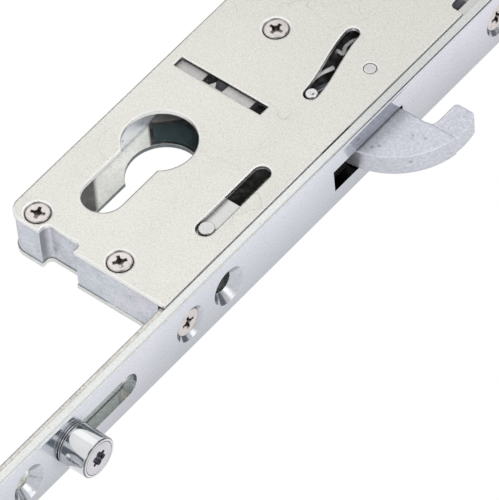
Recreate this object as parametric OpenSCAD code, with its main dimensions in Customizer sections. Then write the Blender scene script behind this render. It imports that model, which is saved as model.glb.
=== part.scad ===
// Multipoint door lock: a slim centre case with a swinging hook bolt, a spring latch
// and a handle follower, on a long faceplate whose two rollers ride on a sliding rod.
// Millimetres. The origin lies on the cylinder axis at half the thickness of the case.
// +X points out of the faceplate, +Z up along the strip, and the cover with the screw
// heads faces -Y. The rest pose is locked: rod down, hook thrown, latch out.

/* [Case] */
// Front of the faceplate to the axis of the cylinder and of the handle
backset = 35; // [33:0.5:40]
// Axis of the cylinder to the rear edge of the case
case_rear = 14.4; // [14:0.1:18]
// Axis of the cylinder down to the lower edge of the case
case_below = 35.4; // [34:0.1:40]
// Upper edge of the latch bolt up to the upper edge of the case
case_head = 11.5; // [10:0.5:20]
// Thickness of each steel cover
cover_t = 1.2; // [1:0.1:1.6]
// Thickness of the cast body between the covers
body_t = 10.2; // [10:0.1:12]
// Wall of the cast body
wall_t = 2.6; // [2:0.1:3]
// Radius of the two rear corners
corner_r = 4; // [1:0.5:6]
// Gap between the covers' front edges and the faceplate
cover_gap = 1.4; // [0.4:0.1:1.8]
// How far the cast body stays behind the covers' edges
body_inset = 0.2; // [0:0.05:0.3]
// Width of the shallow notch in the lower edge
notch_w = 9.9; // [6:0.1:11]
// Depth of the shallow notch in the lower edge
notch_h = 2.65; // [1:0.05:3.2]
// Rounding in the corners of the notch
notch_r = 1.3; // [0.5:0.1:1.5]

/* [Faceplate] */
// Width of the faceplate
face_w = 16; // [15:0.5:20]
// Thickness of the faceplate
face_t = 2.5; // [2.2:0.1:3]
// Rounding of the faceplate's front edges
face_edge_r = 0.8; // [0.2:0.1:1]
// Length of faceplate from a roller's slot to its own end
face_tail = 73; // [60:1:400]
// End fixing hole to the end of the faceplate
end_hole = 8; // [7:0.5:20]
// Mouth of the countersinks that take the fixing screws
fix_head_d = 9.6; // [9:0.1:10.4]
// Bore of the fixing holes
fix_bore_d = 5.2; // [4.5:0.1:5.6]
// Roller's slot to the fixing hole beside it
fix_gap = 8.8; // [7:0.1:12]

/* [Cylinder cut-out] */
// Diameter of the round part
cyl_d = 17.4; // [17:0.1:17.8]
// Width of the straight part
cyl_slot_w = 10.4; // [10:0.1:10.8]
// Height of the whole cut-out
cyl_h = 33; // [32.5:0.1:33.5]
// Cylinder axis down to the cylinder's fixing screw
cyl_screw_drop = 19.2; // [18.5:0.1:20]
// Mouth of the countersink for the cylinder's fixing screw
cyl_screw_head_d = 9.8; // [9:0.1:10.2]
// Bore for the cylinder's fixing screw
cyl_screw_d = 5.5; // [5.2:0.1:5.6]
// Largest turning radius of the cylinder's cam
cam_r = 15.6; // [15:0.1:15.8]

/* [Drive] */
// Stroke of the rod between locked and unlocked
travel = 18.5; // [16:0.5:18.5]
// Width of the drive rods
rod_w = 9.8; // [9.6:0.1:9.8]
// Thickness of the drive rods
rod_t = 2.6; // [2.2:0.1:2.8]
// Thickness of the two slide plates
slide_t = 1.1; // [0.9:0.05:1.2]
// Width of the slots along the drive rods
rod_slot_w = 5.5; // [5.2:0.1:5.6]
// Length of the ears that hook rod and slide plates together
ear_h = 3.4; // [3:0.1:4]
// Length of the brackets that keep the rods behind the faceplate
guide_len = 8; // [6:1:12]
// Guide pin up to the top of the slide plate's pad
pad_h = 9.6; // [8:0.1:10]
// Faceplate's front to the axis of the guide pin
guide_setback = 10.9; // [10.5:0.1:11.5]
// Guide pin's rest position below the cylinder axis
guide_drop = 13; // [12.6:0.1:13]
// Diameter of the guide pin's ends
guide_d = 3.75; // [3.4:0.05:4]
// Width of the guide slots in the covers
guide_slot_w = 4.4; // [4.3:0.1:5]

/* [Hook bolt] */
// Faceplate's front to the hook's pivot
pivot_setback = 10.6; // [10:0.1:11]
// Cylinder axis up to the hook's pivot
pivot_z = 43.5; // [43:0.5:46]
// Swing of the hook between thrown and drawn in
swing = 90; // [85:1:92]
// Thickness of the hook
hook_t = 5.5; // [5:0.1:5.8]
// Radius of the hook's outer arc
hook_r = 18.8; // [18:0.1:19]
// Pivot forward to the centre of the outer arc
hook_arc_x = 7.1; // [6.5:0.1:7.1]
// Pivot forward to the throat's side of the nose
hook_throat_x = 19.4; // [18.5:0.1:20]
// Pivot down to the floor of the throat
hook_throat_drop = 2.8; // [2.4:0.1:4]
// Pivot up to the top of the nose
hook_nose_h = 5.8; // [5:0.1:6]
// Fillet in the throat
hook_fillet = 2.3; // [1:0.1:3]
// Rounding of the nose's upper corners
nose_r = 1.3; // [0.5:0.1:2]
// Depth of the recess in each side of the nose
hook_recess = 0.5; // [0.2:0.1:0.8]
// Diameter of the pivot pin where the hook turns on it
pivot_d = 5.4; // [5:0.1:6]
// Diameter of the pivot pin's riveted ends
pivot_end_d = 3.1; // [3:0.1:3.2]
// Diameter of the pin that swings the hook
drive_pin_d = 2.9; // [2.6:0.05:3]
// Width of the bent slots that steer this pin
bent_slot_w = 3.5; // [3.4:0.05:3.8]
// Rest position of this pin behind the hook's pivot
drive_pin_back = 6.05; // [6:0.05:6.2]
// Rest position of this pin below the hook's pivot
drive_pin_drop = 13.1; // [13:0.1:13.4]
// Sideways shift of this pin over the stroke
drive_pin_shift = 3.55; // [3.4:0.05:3.6]

/* [Handle and latch] */
// Faceplate's front to the follower's pin
arm_setback = 12; // [11.5:0.1:12.5]
// Follower pin's rest position below the handle's axis
arm_drop = 7; // [6.5:0.1:7.5]
// How far the follower's fork reaches past its pin
fork_reach = 4; // [3.6:0.1:4.4]
// Cylinder axis up to the handle's axis
spindle_z = 92; // [92:0.5:94]
// Square hole for the handle's spindle
square_af = 8.05; // [8:0.05:8.2]
// Diameter of the follower's hub
hub_d = 16.6; // [16:0.1:17]
// Handle's axis up to the middle of the latch bolt
latch_rise = 34; // [34:0.5:40]
// Height of the latch bolt's head
latch_h = 25; // [20:0.5:26]
// How far the latch bolt stands out of the faceplate
latch_throw = 10.5; // [9:0.5:11]
// Faceplate's front to the back of the latch bolt's head
latch_head_l = 14; // [12:0.5:15]
// Width of the blunt edge at the latch bolt's tip
latch_tip = 1.6; // [1:0.1:3]
// Diameter of the latch spring's wire
spring_wire_d = 0.9; // [0.7:0.05:1]
// Mean diameter of the latch spring
spring_d = 5.2; // [4.8:0.1:5.6]
// Turns of the latch spring
spring_turns = 9; // [6:1:10]

/* [Locking slide] */
// Cylinder axis up to the lower edge of the window over the slide
window_z = 18.7; // [18.5:0.1:19]
// Height of the window
window_h = 3; // [2.6:0.1:3.4]
// Rear end of the window behind the cylinder axis
window_rear = 11.6; // [11:0.1:11.7]
// Length of the window
window_l = 24.8; // [24:0.1:25.5]
// Stroke of the locking slide
lock_travel = 3.6; // [3:0.1:3.7]

/* [Rollers] */
// Diameter of the rollers
roller_d = 10; // [9:0.1:12]
// Length of the rollers
roller_l = 7; // [6:0.1:10]
// Thickness of the washers behind the rollers
washer_t = 0.3; // [0.2:0.1:0.6]
// Depth of the lobed recess in the studs
recess_depth = 3; // [2:0.1:4]
// Middle of the stud out to the centre of each lobe
recess_r = 1.45; // [1.2:0.05:1.6]
// Lower edge of the case down to the lower roller's stud
roller_gap = 37.35; // [36:0.05:60]
// Offset of the eccentric stud
eccentric = 0.75; // [0.3:0.05:0.8]
// Diameter of the stud's neck in the faceplate's slot
neck_d = 5.4; // [5:0.1:5.6]
// Width of the rollers' slots in the faceplate
roller_slot_w = 6.4; // [6.3:0.1:7]

/* [Screws] */
// Diameter of the cover screws' heads
cover_head_d = 5.7; // [5.4:0.1:6]
// Gap around the cover screws' heads
head_gap = 0.5; // [0.1:0.05:0.6]
// Diameter of the cover screws' shanks
cover_screw_d = 3.9; // [3.4:0.1:4]
// Diameter of the faceplate screws' heads
face_head_d = 7.1; // [6.8:0.1:7.2]
// Diameter of the faceplate screws' shanks
face_screw_d = 3.9; // [3.4:0.1:4]
// How deep the faceplate screws' heads lie under the surface
face_screw_sink = 0.75; // [0.5:0.05:0.9]
// Length of the faceplate screws
face_screw_l = 13; // [10:0.5:14]

/* [Hidden] */
$fn = 64;

// Running clearance of pieces that slide or turn
run = 0.15;
// Clearance of pieces that are only assembled
fit = 0.05;
// How far a cut reaches past the face that it opens
past = 1;

// Thickness, from the middle of the case outwards
inner_y = body_t / 2;
outer_y = inner_y + cover_t;
slide_y1 = inner_y - 0.1;
slide_y0 = slide_y1 - slide_t;
core_y = slide_y0 - 0.2;

// Depth, from the faceplate backwards
face_x = backset;
face_back_x = backset - face_t;
cover_x1 = face_back_x - cover_gap;
rod_x1 = face_back_x - 0.2;
rod_x0 = rod_x1 - rod_t;
body_x1 = rod_x0 - 1.1;
guide_x = backset - guide_setback;
slide_x0 = guide_x - guide_d / 2 - 2.2;
strip_x0 = rod_x0 - 0.8;
pivot_x = backset - pivot_setback;

// Height of the case and of what lies in it
latch_z = spindle_z + latch_rise;
case_top = latch_z + latch_h / 2 + case_head;
low_screw_z = -case_below + 3.2;
mid_screw_z = spindle_z - 16;
top_screw_z = case_top - 3.2;
block_x0 = body_x1 - 11.6;
low_ear_z = low_screw_z + 1.8;
top_ear_z = latch_z + latch_h / 2 + 0.8;

// Rollers and faceplate ends
low_roller_z = -case_below - roller_gap;
top_roller_z = case_top + roller_gap;
roller_slot_drop = roller_slot_w / 2 + 1.25;
roller_slot_rise = travel + roller_slot_w / 2 + 0.65;
low_fix_z = low_roller_z - roller_slot_drop - fix_gap;
top_fix_z = top_roller_z + roller_slot_rise + fix_gap;
face_bottom = low_roller_z - roller_slot_drop - face_tail;
face_top = top_roller_z + roller_slot_rise + face_tail;
rod_bottom = face_bottom + end_hole + fix_head_d / 2 + 2;
rod_top = face_top - end_hole - fix_head_d / 2 - 2 - travel;

// Hook: the drive pin's rest place, and its path over the stroke
pin_x = pivot_x - drive_pin_back;
pin_z = pivot_z - drive_pin_drop;
hook_arc_z = pivot_z + 0.2;
throat_z = pivot_z - hook_throat_drop;
nose_z = pivot_z + hook_nose_h;
function arc_edge_x(z) = pivot_x + hook_arc_x + sqrt(pow(hook_r, 2) - pow(z - hook_arc_z, 2));
hook_sweep_r = norm([arc_edge_x(hook_arc_z) - pivot_x, hook_nose_h * 0.35]);
hook_slot_half = hook_t / 2 + 0.45;
hook_slot_low = pivot_z - sqrt(pow(hook_sweep_r, 2) - pow(face_back_x - pivot_x, 2)) - 1.6;
hook_slot_high = throat_z + 0.7;

// Handle and latch
arm_x = face_x - arm_setback;
arm_rest_z = spindle_z - arm_drop;
follower_pin_d = 2.9;
fork_w = follower_pin_d + 0.6;
arm_bias = 0.45;
arm_rest = atan((arm_rest_z - spindle_z) / arm_x) + arm_bias;
latch_half = core_y;
latch_tail_x0 = -1;
latch_back_x = face_x - latch_head_l;
lever_r = latch_rise - 4.5;
ring_d = hub_d + 6.4;
lever_tip_d = 5;
latch_stroke = latch_throw - 0.3;
lever_rest = 90 - asin(latch_stroke / 2 / lever_r);
lever_tip_x = lever_r * cos(lever_rest);
lever_y0 = -3.4;
lever_y1 = -0.4;
arm_y0 = 0.1;
arm_y1 = core_y - 0.1;
spring_z = latch_z + latch_h / 2 - 4;
spring_stop_x = -2;

// Locking slide
lock_y0 = -slide_y1;
lock_y1 = lock_y0 + 1.9;
lock_x0 = max(-window_rear - fit, -case_rear + wall_t + run);
lock_x1 = window_l - window_rear - lock_travel - 0.3;
lock_top = window_z + window_h + 1.9;
detent_floor = window_z + 1;
lock_low = cam_r + 0.1;
lock_rivet_at = [[-8, window_z - 1.2], [5.5, window_z - 1.2]];

// Cover screws, as places in the plane of the covers
cover_screw_at = [
    [-case_rear + 6, -case_below + 3.9],
    [15, -case_below + 3.9],
    [0.1, pivot_z - 3.1],
    [-case_rear + 6, mid_screw_z],
    [-case_rear + 6, case_top - 3.9],
    [15, case_top - 3.9]];
face_screw_at = [low_screw_z, mid_screw_z, top_screw_z];
head_rim = 0.25;

// Rollers: end of the stud's neck, and both ends of the sleeve
neck_x1 = face_x + 0.1;
washer_x0 = neck_x1 + 0.05;
roller_x0 = washer_x0 + washer_t + 0.1;
roller_x1 = roller_x0 + roller_l;
journal_d = neck_d + 0.6;
stud_head_d = roller_d - 1.9;

// Steps of the drive pin's path, and how far its slot runs past the stroke
bent_steps = 16;
bent_spare = 0.02;
hook_steps = 24;

// Plate parallel to the covers, drawn as X and Z, from y0 to y1
module plate(y0, y1) {
    translate([0, y1, 0]) rotate([90, 0, 0]) linear_extrude(height = y1 - y0) children();
}

// Plate parallel to the faceplate, drawn as Y and Z, from x0 to x1
module panel(x0, x1) {
    translate([x0, 0, 0]) rotate([90, 0, 90]) linear_extrude(height = x1 - x0) children();
}

// Round piece along Y
module pin_y(x, z, d, y0, y1) {
    translate([x, y1, z]) rotate([90, 0, 0]) cylinder(d = d, h = y1 - y0);
}

// Pin along Y with chamfered ends
module turned_pin(x, z, d, y0, y1) {
    chamfer = 0.2;
    h = y1 - y0;
    translate([x, y1, z]) rotate([90, 0, 0]) rotate_extrude() polygon([[0, 0], [d / 2 - chamfer, 0],
        [d / 2, chamfer], [d / 2, h - chamfer], [d / 2 - chamfer, h], [0, h]]);
}

// Round piece or cone along X
module pin_x(y, z, d0, d1, x0, x1) {
    translate([x0, y, z]) rotate([0, 90, 0]) cylinder(d1 = d0, d2 = d1, h = x1 - x0);
}

// Rectangle by its corners
module box2(x0, x1, z0, z1) {
    translate([x0, z0]) square([x1 - x0, z1 - z0]);
}

// Upright slot with round ends, from centre z0 to centre z1
module upright_slot(x, z0, z1, w) {
    box2(x - w / 2, x + w / 2, z0, z1);
    translate([x, z0]) circle(d = w);
    translate([x, z1]) circle(d = w);
}

// Bar between two points, with round ends
module bar2(a, b, w) {
    length = norm(b - a);
    translate(a) rotate(atan2(b[1] - a[1], b[0] - a[0])) translate([0, -w / 2]) square([length, w]);
    translate(a) circle(d = w);
    translate(b) circle(d = w);
}

// Point at distance r from c, turned by a from the right-hand side of the direction dir
function beside(c, dir, a, r) = c + r * (cos(a) * [dir[1], -dir[0]] + sin(a) * dir);
function directions(points) = let (n = len(points) - 1)
    [for (i = [0 : n]) let (d = points[min(i + 1, n)] - points[max(i - 1, 0)]) d / norm(d)];

// Slot of width w along a row of points, with round ends
module ribbon(points, w) {
    n = len(points) - 1;
    dirs = directions(points);
    polygon(concat([for (i = [0 : n]) beside(points[i], dirs[i], 0, w / 2)],
        [for (a = [15 : 15 : 165]) beside(points[n], dirs[n], a, w / 2)],
        [for (i = [n : -1 : 0]) beside(points[i], dirs[i], 180, w / 2)],
        [for (a = [195 : 15 : 345]) beside(points[0], dirs[0], a, w / 2)]));
}

// What rounding a corner of radius r takes away; the corner is at the origin
module corner_cut(r) {
    difference() {
        translate([-past, -past]) square([r + past, r + past]);
        translate([r, r]) circle(r);
    }
}

// Fillet of radius r that fills an inner corner at the origin
module corner_fill(r) {
    difference() {
        translate([-0.01, -0.01]) square(r + 0.01);
        translate([r, r]) circle(r);
    }
}

// Slice of a disc from angle a0 to a1, which reaches past radius r
module fan(r, a0, a1) {
    slices = 8;
    polygon(concat([[0, 0]], [for (i = [0 : slices])
        let (a = a0 + (a1 - a0) * i / slices) 1.1 * r * [cos(a), sin(a)]]));
}

// Countersunk head with a narrow bevelled rim, its top at the origin
module screw_head(head_d, shank_d, h) {
    translate([0, 0, -head_rim]) cylinder(d1 = head_d, d2 = head_d - 2 * head_rim, h = head_rim);
    translate([0, 0, -h]) cylinder(d1 = shank_d, d2 = head_d, h = h - head_rim);
}

// Cross recess in a screw head, cut downwards from the origin
module cross_recess(size, depth) {
    for (turn = [0, 90])
        rotate([0, 0, turn]) translate([-size / 2, -size / 9, -depth]) cube([size, size / 4.5, depth + past]);
    translate([0, 0, -depth]) cylinder(d1 = size * 0.3, d2 = size * 0.55, h = depth);
}

// Outline of the case, from the rear edge to x1, drawn in by the inset
module case_outline(x1, inset = 0) {
    x0 = -case_rear + inset;
    low = -case_below + inset;
    high = case_top - inset;
    difference() {
        box2(x0, x1, low, high);
        translate([x0, low]) corner_cut(corner_r);
        translate([x0, high]) mirror([0, 1]) corner_cut(corner_r);
        difference() {
            box2(-notch_w / 2 - inset, notch_w / 2 + inset, low - past, low + notch_h);
            for (side = [-1, 1])
                translate([side * (notch_w / 2 + inset), low + notch_h]) scale([-side, -1])
                    corner_fill(notch_r + inset);
        }
    }
}

// Cut-out for the cylinder
module cylinder_cutout() {
    circle(d = cyl_d, $fn = 96);
    upright_slot(0, cyl_d / 2 - cyl_h + cyl_slot_w / 2, 0, cyl_slot_w);
}

// Bent slot that steers the hook's drive pin; its middle line eases along half a cosine
function bent_x(u) = pin_x - drive_pin_shift * (0.6 * (1 - cos(180 * u)) / 2 + 0.4 * u);
function bent_point(u) = [bent_x(u), pin_z + travel * u];
module bent_slot() {
    ribbon([for (i = [0 : bent_steps]) bent_point(-bent_spare + (1 + 2 * bent_spare) * i / bent_steps)],
        bent_slot_w);
}

// Guide slot in the covers
module guide_slot() {
    upright_slot(guide_x, -guide_drop - 0.5, -guide_drop + travel + 0.4, guide_slot_w);
}

// Openings that both covers share
module cover_openings() {
    cylinder_cutout();
    bent_slot();
    guide_slot();
    translate([0, spindle_z]) circle(d = hub_d + 4.4);
    translate([pivot_x, pivot_z]) circle(d = pivot_end_d + fit);
}

// Strip: a slotted plate with countersunk holes
module faceplate() {
    color([0.80, 0.80, 0.84]) difference() {
        translate([0, 0, face_bottom]) linear_extrude(height = face_top - face_bottom) union() {
            translate([face_back_x, -face_w / 2]) square([face_t - face_edge_r, face_w]);
            translate([face_back_x, -face_w / 2 + face_edge_r]) square([face_t, face_w - 2 * face_edge_r]);
            for (side = [-1, 1])
                translate([face_x - face_edge_r, side * (face_w / 2 - face_edge_r)]) circle(face_edge_r);
        }
        panel(face_back_x - past, face_x + past) {
            box2(-hook_slot_half, hook_slot_half, hook_slot_low, hook_slot_high);
            box2(-latch_half - 0.2, latch_half + 0.2, latch_z - latch_h / 2 - 0.25, latch_z + latch_h / 2 + 0.25);
            for (z = [low_roller_z, top_roller_z])
                upright_slot(0, z - roller_slot_drop + roller_slot_w / 2,
                    z + roller_slot_rise - roller_slot_w / 2, roller_slot_w);
            for (side = [-1, 1]) scale([side, 1]) {
                translate([-face_w / 2, face_bottom]) corner_cut(2);
                translate([-face_w / 2, face_top]) mirror([0, 1]) corner_cut(2);
            }
        }
        for (z = [low_fix_z, top_fix_z, face_bottom + end_hole, face_top - end_hole])
            countersink(z, fix_head_d, fix_bore_d);
        countersink(-cyl_screw_drop, cyl_screw_head_d, cyl_screw_d);
        for (z = face_screw_at)
            countersink(z, face_head_d + 2 * (face_screw_sink + head_rim + fit), face_screw_d + 2 * run);
    }
}

// Countersunk hole through the faceplate at height z
module countersink(z, mouth, bore) {
    depth = min((mouth - bore) / 2, face_t);
    pin_x(0, z, bore, bore, face_back_x - past, face_x - depth + 0.001);
    pin_x(0, z, mouth - 2 * depth, mouth, face_x - depth, face_x);
    pin_x(0, z, mouth, mouth, face_x - 0.001, face_x + past);
}

// Slots for fixed screws that a moving rod must pass, at heights zs
module rod_slots(zs) {
    for (z = zs)
        upright_slot(0, z - travel - 0.5, z + 0.5, rod_slot_w);
}

// Rod below the case, hooked into the slide plates and carrying the lower roller
module lower_drive_rod() {
    color([0.78, 0.76, 0.72]) difference() {
        panel(rod_x0, rod_x1) difference() {
            box2(-rod_w / 2, rod_w / 2, rod_bottom, low_ear_z + ear_h);
            rod_slots([low_fix_z]);
            box2(-rod_slot_w / 2, rod_slot_w / 2, low_screw_z - travel - 0.5, low_ear_z + ear_h + past);
            translate([0, low_screw_z - travel - 0.5]) circle(d = rod_slot_w);
            for (side = [-1, 1]) scale([side, 1])
                box2(slide_y0 - fit, rod_w, low_ear_z - ear_h, low_ear_z);
        }
        pin_x(0, low_roller_z, neck_d + fit, neck_d + fit, rod_x0 - past, rod_x1 + past);
    }
}

// Rod above the case, carrying the upper roller
module upper_drive_rod() {
    color([0.78, 0.76, 0.72]) difference() {
        panel(rod_x0, rod_x1) difference() {
            box2(-rod_w / 2, rod_w / 2, top_ear_z, rod_top);
            rod_slots([top_fix_z]);
            box2(-rod_slot_w / 2, rod_slot_w / 2, top_ear_z - past, top_screw_z + 0.5);
            translate([0, top_screw_z + 0.5]) circle(d = rod_slot_w);
            for (side = [-1, 1]) scale([side, 1])
                box2(slide_y0 - fit, rod_w, top_ear_z + ear_h, top_ear_z + 2 * ear_h);
        }
        pin_x(0, top_roller_z, neck_d + fit, neck_d + fit, rod_x0 - past, rod_x1 + past);
    }
}

// Bent brackets on the faceplate's back that keep the rods behind it
module rod_guides() {
    half = rod_w / 2 + 0.25;
    low = rod_bottom + 6;
    high = rod_top - 6 - guide_len;
    color([0.72, 0.72, 0.74]) for (z = [low, high])
        translate([0, 0, z]) linear_extrude(height = guide_len) difference() {
            translate([rod_x0 - 1.5, -half - 1.2]) square([face_back_x - rod_x0 + 1.5, 2 * half + 2.4]);
            translate([rod_x0 - 0.25, -half]) square([face_t + rod_t + past, 2 * half]);
        }
}

// Die-cast body: a frame with webs and bosses between the covers
module case_body() {
    notch_rib = notch_w / 2 + 2.4;
    color([0.74, 0.75, 0.80]) difference() {
        union() {
            plate(-inner_y, inner_y) {
                difference() {
                    case_outline(body_x1, body_inset);
                    box2(-case_rear + wall_t, body_x1 + past, -case_below + 2.8, case_top - 2.8);
                }
                intersection() {
                    case_outline(body_x1, body_inset);
                    union() {
                        box2(-notch_rib, notch_rib, -case_below, -case_below + notch_h + 2.4);
                        for (at = cover_screw_at)
                            translate(at) circle(d = cover_screw_d + 4.2);
                        box2(-case_rear, -case_rear + 6, -case_below, -case_below + 6);
                        box2(block_x0, slide_x0 - 0.4, -case_below, low_screw_z + 3.6);
                        box2(-case_rear, -case_rear + 6, case_top - 6, case_top);
                        box2(block_x0, slide_x0 - 0.4, latch_z + latch_h / 2 + 0.3, case_top);
                        box2(-case_rear, slide_x0 - 0.4, mid_screw_z - 2.8, mid_screw_z + 2.8);
                        box2(-case_rear, 0.1, pivot_z - 4.5, pivot_z - 1.7);
                        box2(-case_rear, 4.5, lock_top + 0.9, lock_top + 3.2);
                        box2(-case_rear, spring_stop_x, spring_z + 1.6, spring_z + 4.4);
                        box2(spring_stop_x - 3, spring_stop_x, spring_z - 3.4, spring_z + 4.4);
                    }
                }
            }
            plate(-core_y, core_y) {
                box2(block_x0, body_x1, -case_below + 0.4, low_screw_z + 3.6);
                box2(block_x0, body_x1, mid_screw_z - 2.8, mid_screw_z + 2.8);
                box2(block_x0, body_x1, latch_z + latch_h / 2 + 0.3, top_screw_z + 2.5);
                box2(block_x0, body_x1, latch_z - latch_h / 2 - 3.9, latch_z - latch_h / 2 - 0.3);
            }
            plate(arm_y0 + 0.2, inner_y)
                box2(-case_rear + 1, slide_x0 - 0.4, latch_z - latch_h / 2 - 3.9, latch_z - latch_h / 2 - 1);
        }
        for (at = cover_screw_at)
            pin_y(at[0], at[1], cover_screw_d + 2 * fit, -inner_y - past, inner_y + past);
        for (z = face_screw_at)
            pin_x(0, z, face_screw_d + 2 * fit, face_screw_d + 2 * fit,
                face_x - face_screw_sink - face_screw_l - 0.5, body_x1 + past);
        pin_x(0, spring_z, 3.6, 3.6, spring_stop_x - 4, spring_stop_x + past);
        plate(-inner_y - past, lock_y1 + 0.2) box2(lock_x0 - 0.3, 4.5 + past, lock_top, lock_top + 0.9);
    }
}

// Front cover, with the countersunk screws, the locking slide's window and the relief
// beside the middle faceplate screw
module front_cover() {
    relief_x0 = body_x1 - 1.4;
    color([0.87, 0.86, 0.84]) difference() {
        plate(-outer_y, -inner_y) difference() {
            case_outline(cover_x1);
            cover_openings();
            box2(-window_rear, window_l - window_rear, window_z, window_z + window_h);
            upright_slot(relief_x0 + 1.5, mid_screw_z - 6.3, mid_screw_z + 6.3, 3);
            box2(relief_x0 + 1.5, face_back_x + past, mid_screw_z - 7.8, mid_screw_z + 7.8);
        }
        for (at = cover_screw_at)
            translate([at[0], -outer_y - 0.001, at[1]]) rotate([-90, 0, 0])
                cylinder(d1 = cover_head_d + 2 * head_gap, d2 = cover_screw_d + 2 * fit, h = cover_t + 0.002);
    }
}

// Rear cover, into which the screws thread
module rear_cover() {
    color([0.84, 0.84, 0.82]) plate(inner_y, outer_y) difference() {
        case_outline(cover_x1);
        cover_openings();
        for (at = cover_screw_at)
            translate(at) circle(d = cover_screw_d + 2 * fit);
    }
}

// Countersunk cross-recess screws through front cover and body into the rear cover
module cover_screws() {
    color([0.82, 0.80, 0.79]) for (i = [0 : len(cover_screw_at) - 1])
        translate([cover_screw_at[i][0], -outer_y, cover_screw_at[i][1]]) rotate([90, 0, 0])
            rotate(20 + 35 * i) difference() {
                union() {
                    screw_head(cover_head_d, cover_screw_d, cover_t);
                    translate([0, 0, -2 * outer_y]) cylinder(d = cover_screw_d, h = 2 * outer_y - cover_t + 0.01);
                }
                cross_recess(3.3, 1.6);
            }
}

// Screws that hold the faceplate to the body
module faceplate_screws() {
    head_h = (face_head_d - face_screw_d) / 2;
    color([0.84, 0.80, 0.80]) for (z = face_screw_at)
        translate([face_x - face_screw_sink, 0, z]) rotate([0, 90, 0]) difference() {
            union() {
                screw_head(face_head_d, face_screw_d, head_h + head_rim);
                translate([0, 0, -face_screw_l]) cylinder(d = face_screw_d, h = face_screw_l - head_h);
            }
            cross_recess(3.6, 1.6);
        }
}

// Plastic bearing of the follower in one cover
module bush(y0, y1, lip_y0, lip_y1) {
    color([0.16, 0.16, 0.17]) difference() {
        union() {
            pin_y(0, spindle_z, hub_d + 4.3, y0, y1);
            pin_y(0, spindle_z, ring_d, lip_y0, lip_y1);
        }
        pin_y(0, spindle_z, hub_d + 2 * run, -outer_y - past, outer_y + past);
    }
}
module front_bush() {
    bush(-outer_y, -inner_y + 1, -inner_y, -inner_y + 1);
}
module rear_bush() {
    bush(inner_y - 1, outer_y, inner_y - 1, inner_y);
}

// Notch of a slide plate around the ears of both rods, and the finger beyond it
module slide_ears() {
    box2(rod_x0 - fit, rod_x1 + past, low_ear_z, low_ear_z + ear_h);
    box2(rod_x0 - fit, rod_x1 + past, top_ear_z, top_ear_z + ear_h);
}

// Slide plate under the front cover: a pad at the guide pin and a narrow strip
module front_slide_plate() {
    color([0.80, 0.80, 0.79]) plate(-slide_y1, -slide_y0) difference() {
        union() {
            box2(slide_x0, rod_x1, low_ear_z - 0.8, -guide_drop + pad_h);
            box2(strip_x0, rod_x1, low_ear_z - ear_h, top_ear_z + 2 * ear_h);
        }
        slide_ears();
        translate([guide_x, -guide_drop]) circle(d = guide_d + 2 * fit);
        translate([slide_x0, -guide_drop + pad_h]) mirror([0, 1]) corner_cut(1);
        translate([slide_x0, low_ear_z - 0.8]) corner_cut(1);
    }
}

// Slide plate under the rear cover: carries the follower's pin and steers the hook's pin
module rear_slide_plate() {
    arm_z = pin_z;
    arm_x0 = pin_x - drive_pin_shift - drive_pin_d / 2 - 2.4;
    color([0.80, 0.80, 0.79]) plate(slide_y0, slide_y1) difference() {
        union() {
            box2(slide_x0, rod_x1, low_ear_z - 0.8, spindle_z + 2);
            box2(strip_x0, rod_x1, low_ear_z - ear_h, top_ear_z + 2 * ear_h);
            box2(arm_x0, slide_x0 + 2, arm_z - 4, arm_z + 4);
        }
        slide_ears();
        upright_slot(pivot_x, pivot_z - travel - 0.4, pivot_z + 0.4, pivot_end_d + 4 * run);
        translate([guide_x, -guide_drop]) circle(d = guide_d + 2 * fit);
        translate([arm_x, arm_rest_z]) circle(d = follower_pin_d - 0.4);
        bar2([pin_x - drive_pin_shift - 0.2, arm_z], [pin_x + 0.2, arm_z], drive_pin_d + 2 * run);
        translate([arm_x0, arm_z - 4]) corner_cut(2);
        translate([arm_x0, arm_z + 4]) mirror([0, 1]) corner_cut(2);
    }
}

// Pin that joins the slide plates and runs in the covers' guide slots
module slide_guide_pin() {
    color([0.86, 0.86, 0.87]) {
        turned_pin(guide_x, -guide_drop, guide_d, -outer_y + 0.1, outer_y - 0.1);
        pin_y(guide_x, -guide_drop, guide_d + 1.8, -slide_y0, slide_y0);
    }
}

// Pin on the rear slide plate that the follower's fork embraces
module follower_pin() {
    color([0.70, 0.70, 0.72]) {
        pin_y(arm_x, arm_rest_z, follower_pin_d, arm_y0, slide_y0);
        pin_y(arm_x, arm_rest_z, follower_pin_d - 0.5, slide_y0 - 0.01, slide_y1);
    }
}

// Path of the drive pin's centre as the turning hook sees it
function turned(p, a) = [p[0] * cos(a) + p[1] * sin(a), -p[0] * sin(a) + p[1] * cos(a)];
function hook_path(u) = turned([-drive_pin_back - drive_pin_shift * u, -drive_pin_drop + travel * u], -swing * u);

// Opening in the hook's tail: all that the pin sweeps on its looping path
module hook_tail_slot() {
    points = [for (i = [0 : hook_steps]) hook_path(i / hook_steps)];
    dirs = directions(points);
    back = points[0] - points[hook_steps];
    dir = back / norm(back);
    r = drive_pin_d / 2 + run;
    polygon(concat([for (i = [0 : hook_steps]) beside(points[i], dirs[i], 0, r)],
        [beside(points[hook_steps], dir, 0, r)],
        [for (a = [0 : 15 : 120]) beside(points[0], dir, a, r)]));
}

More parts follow.
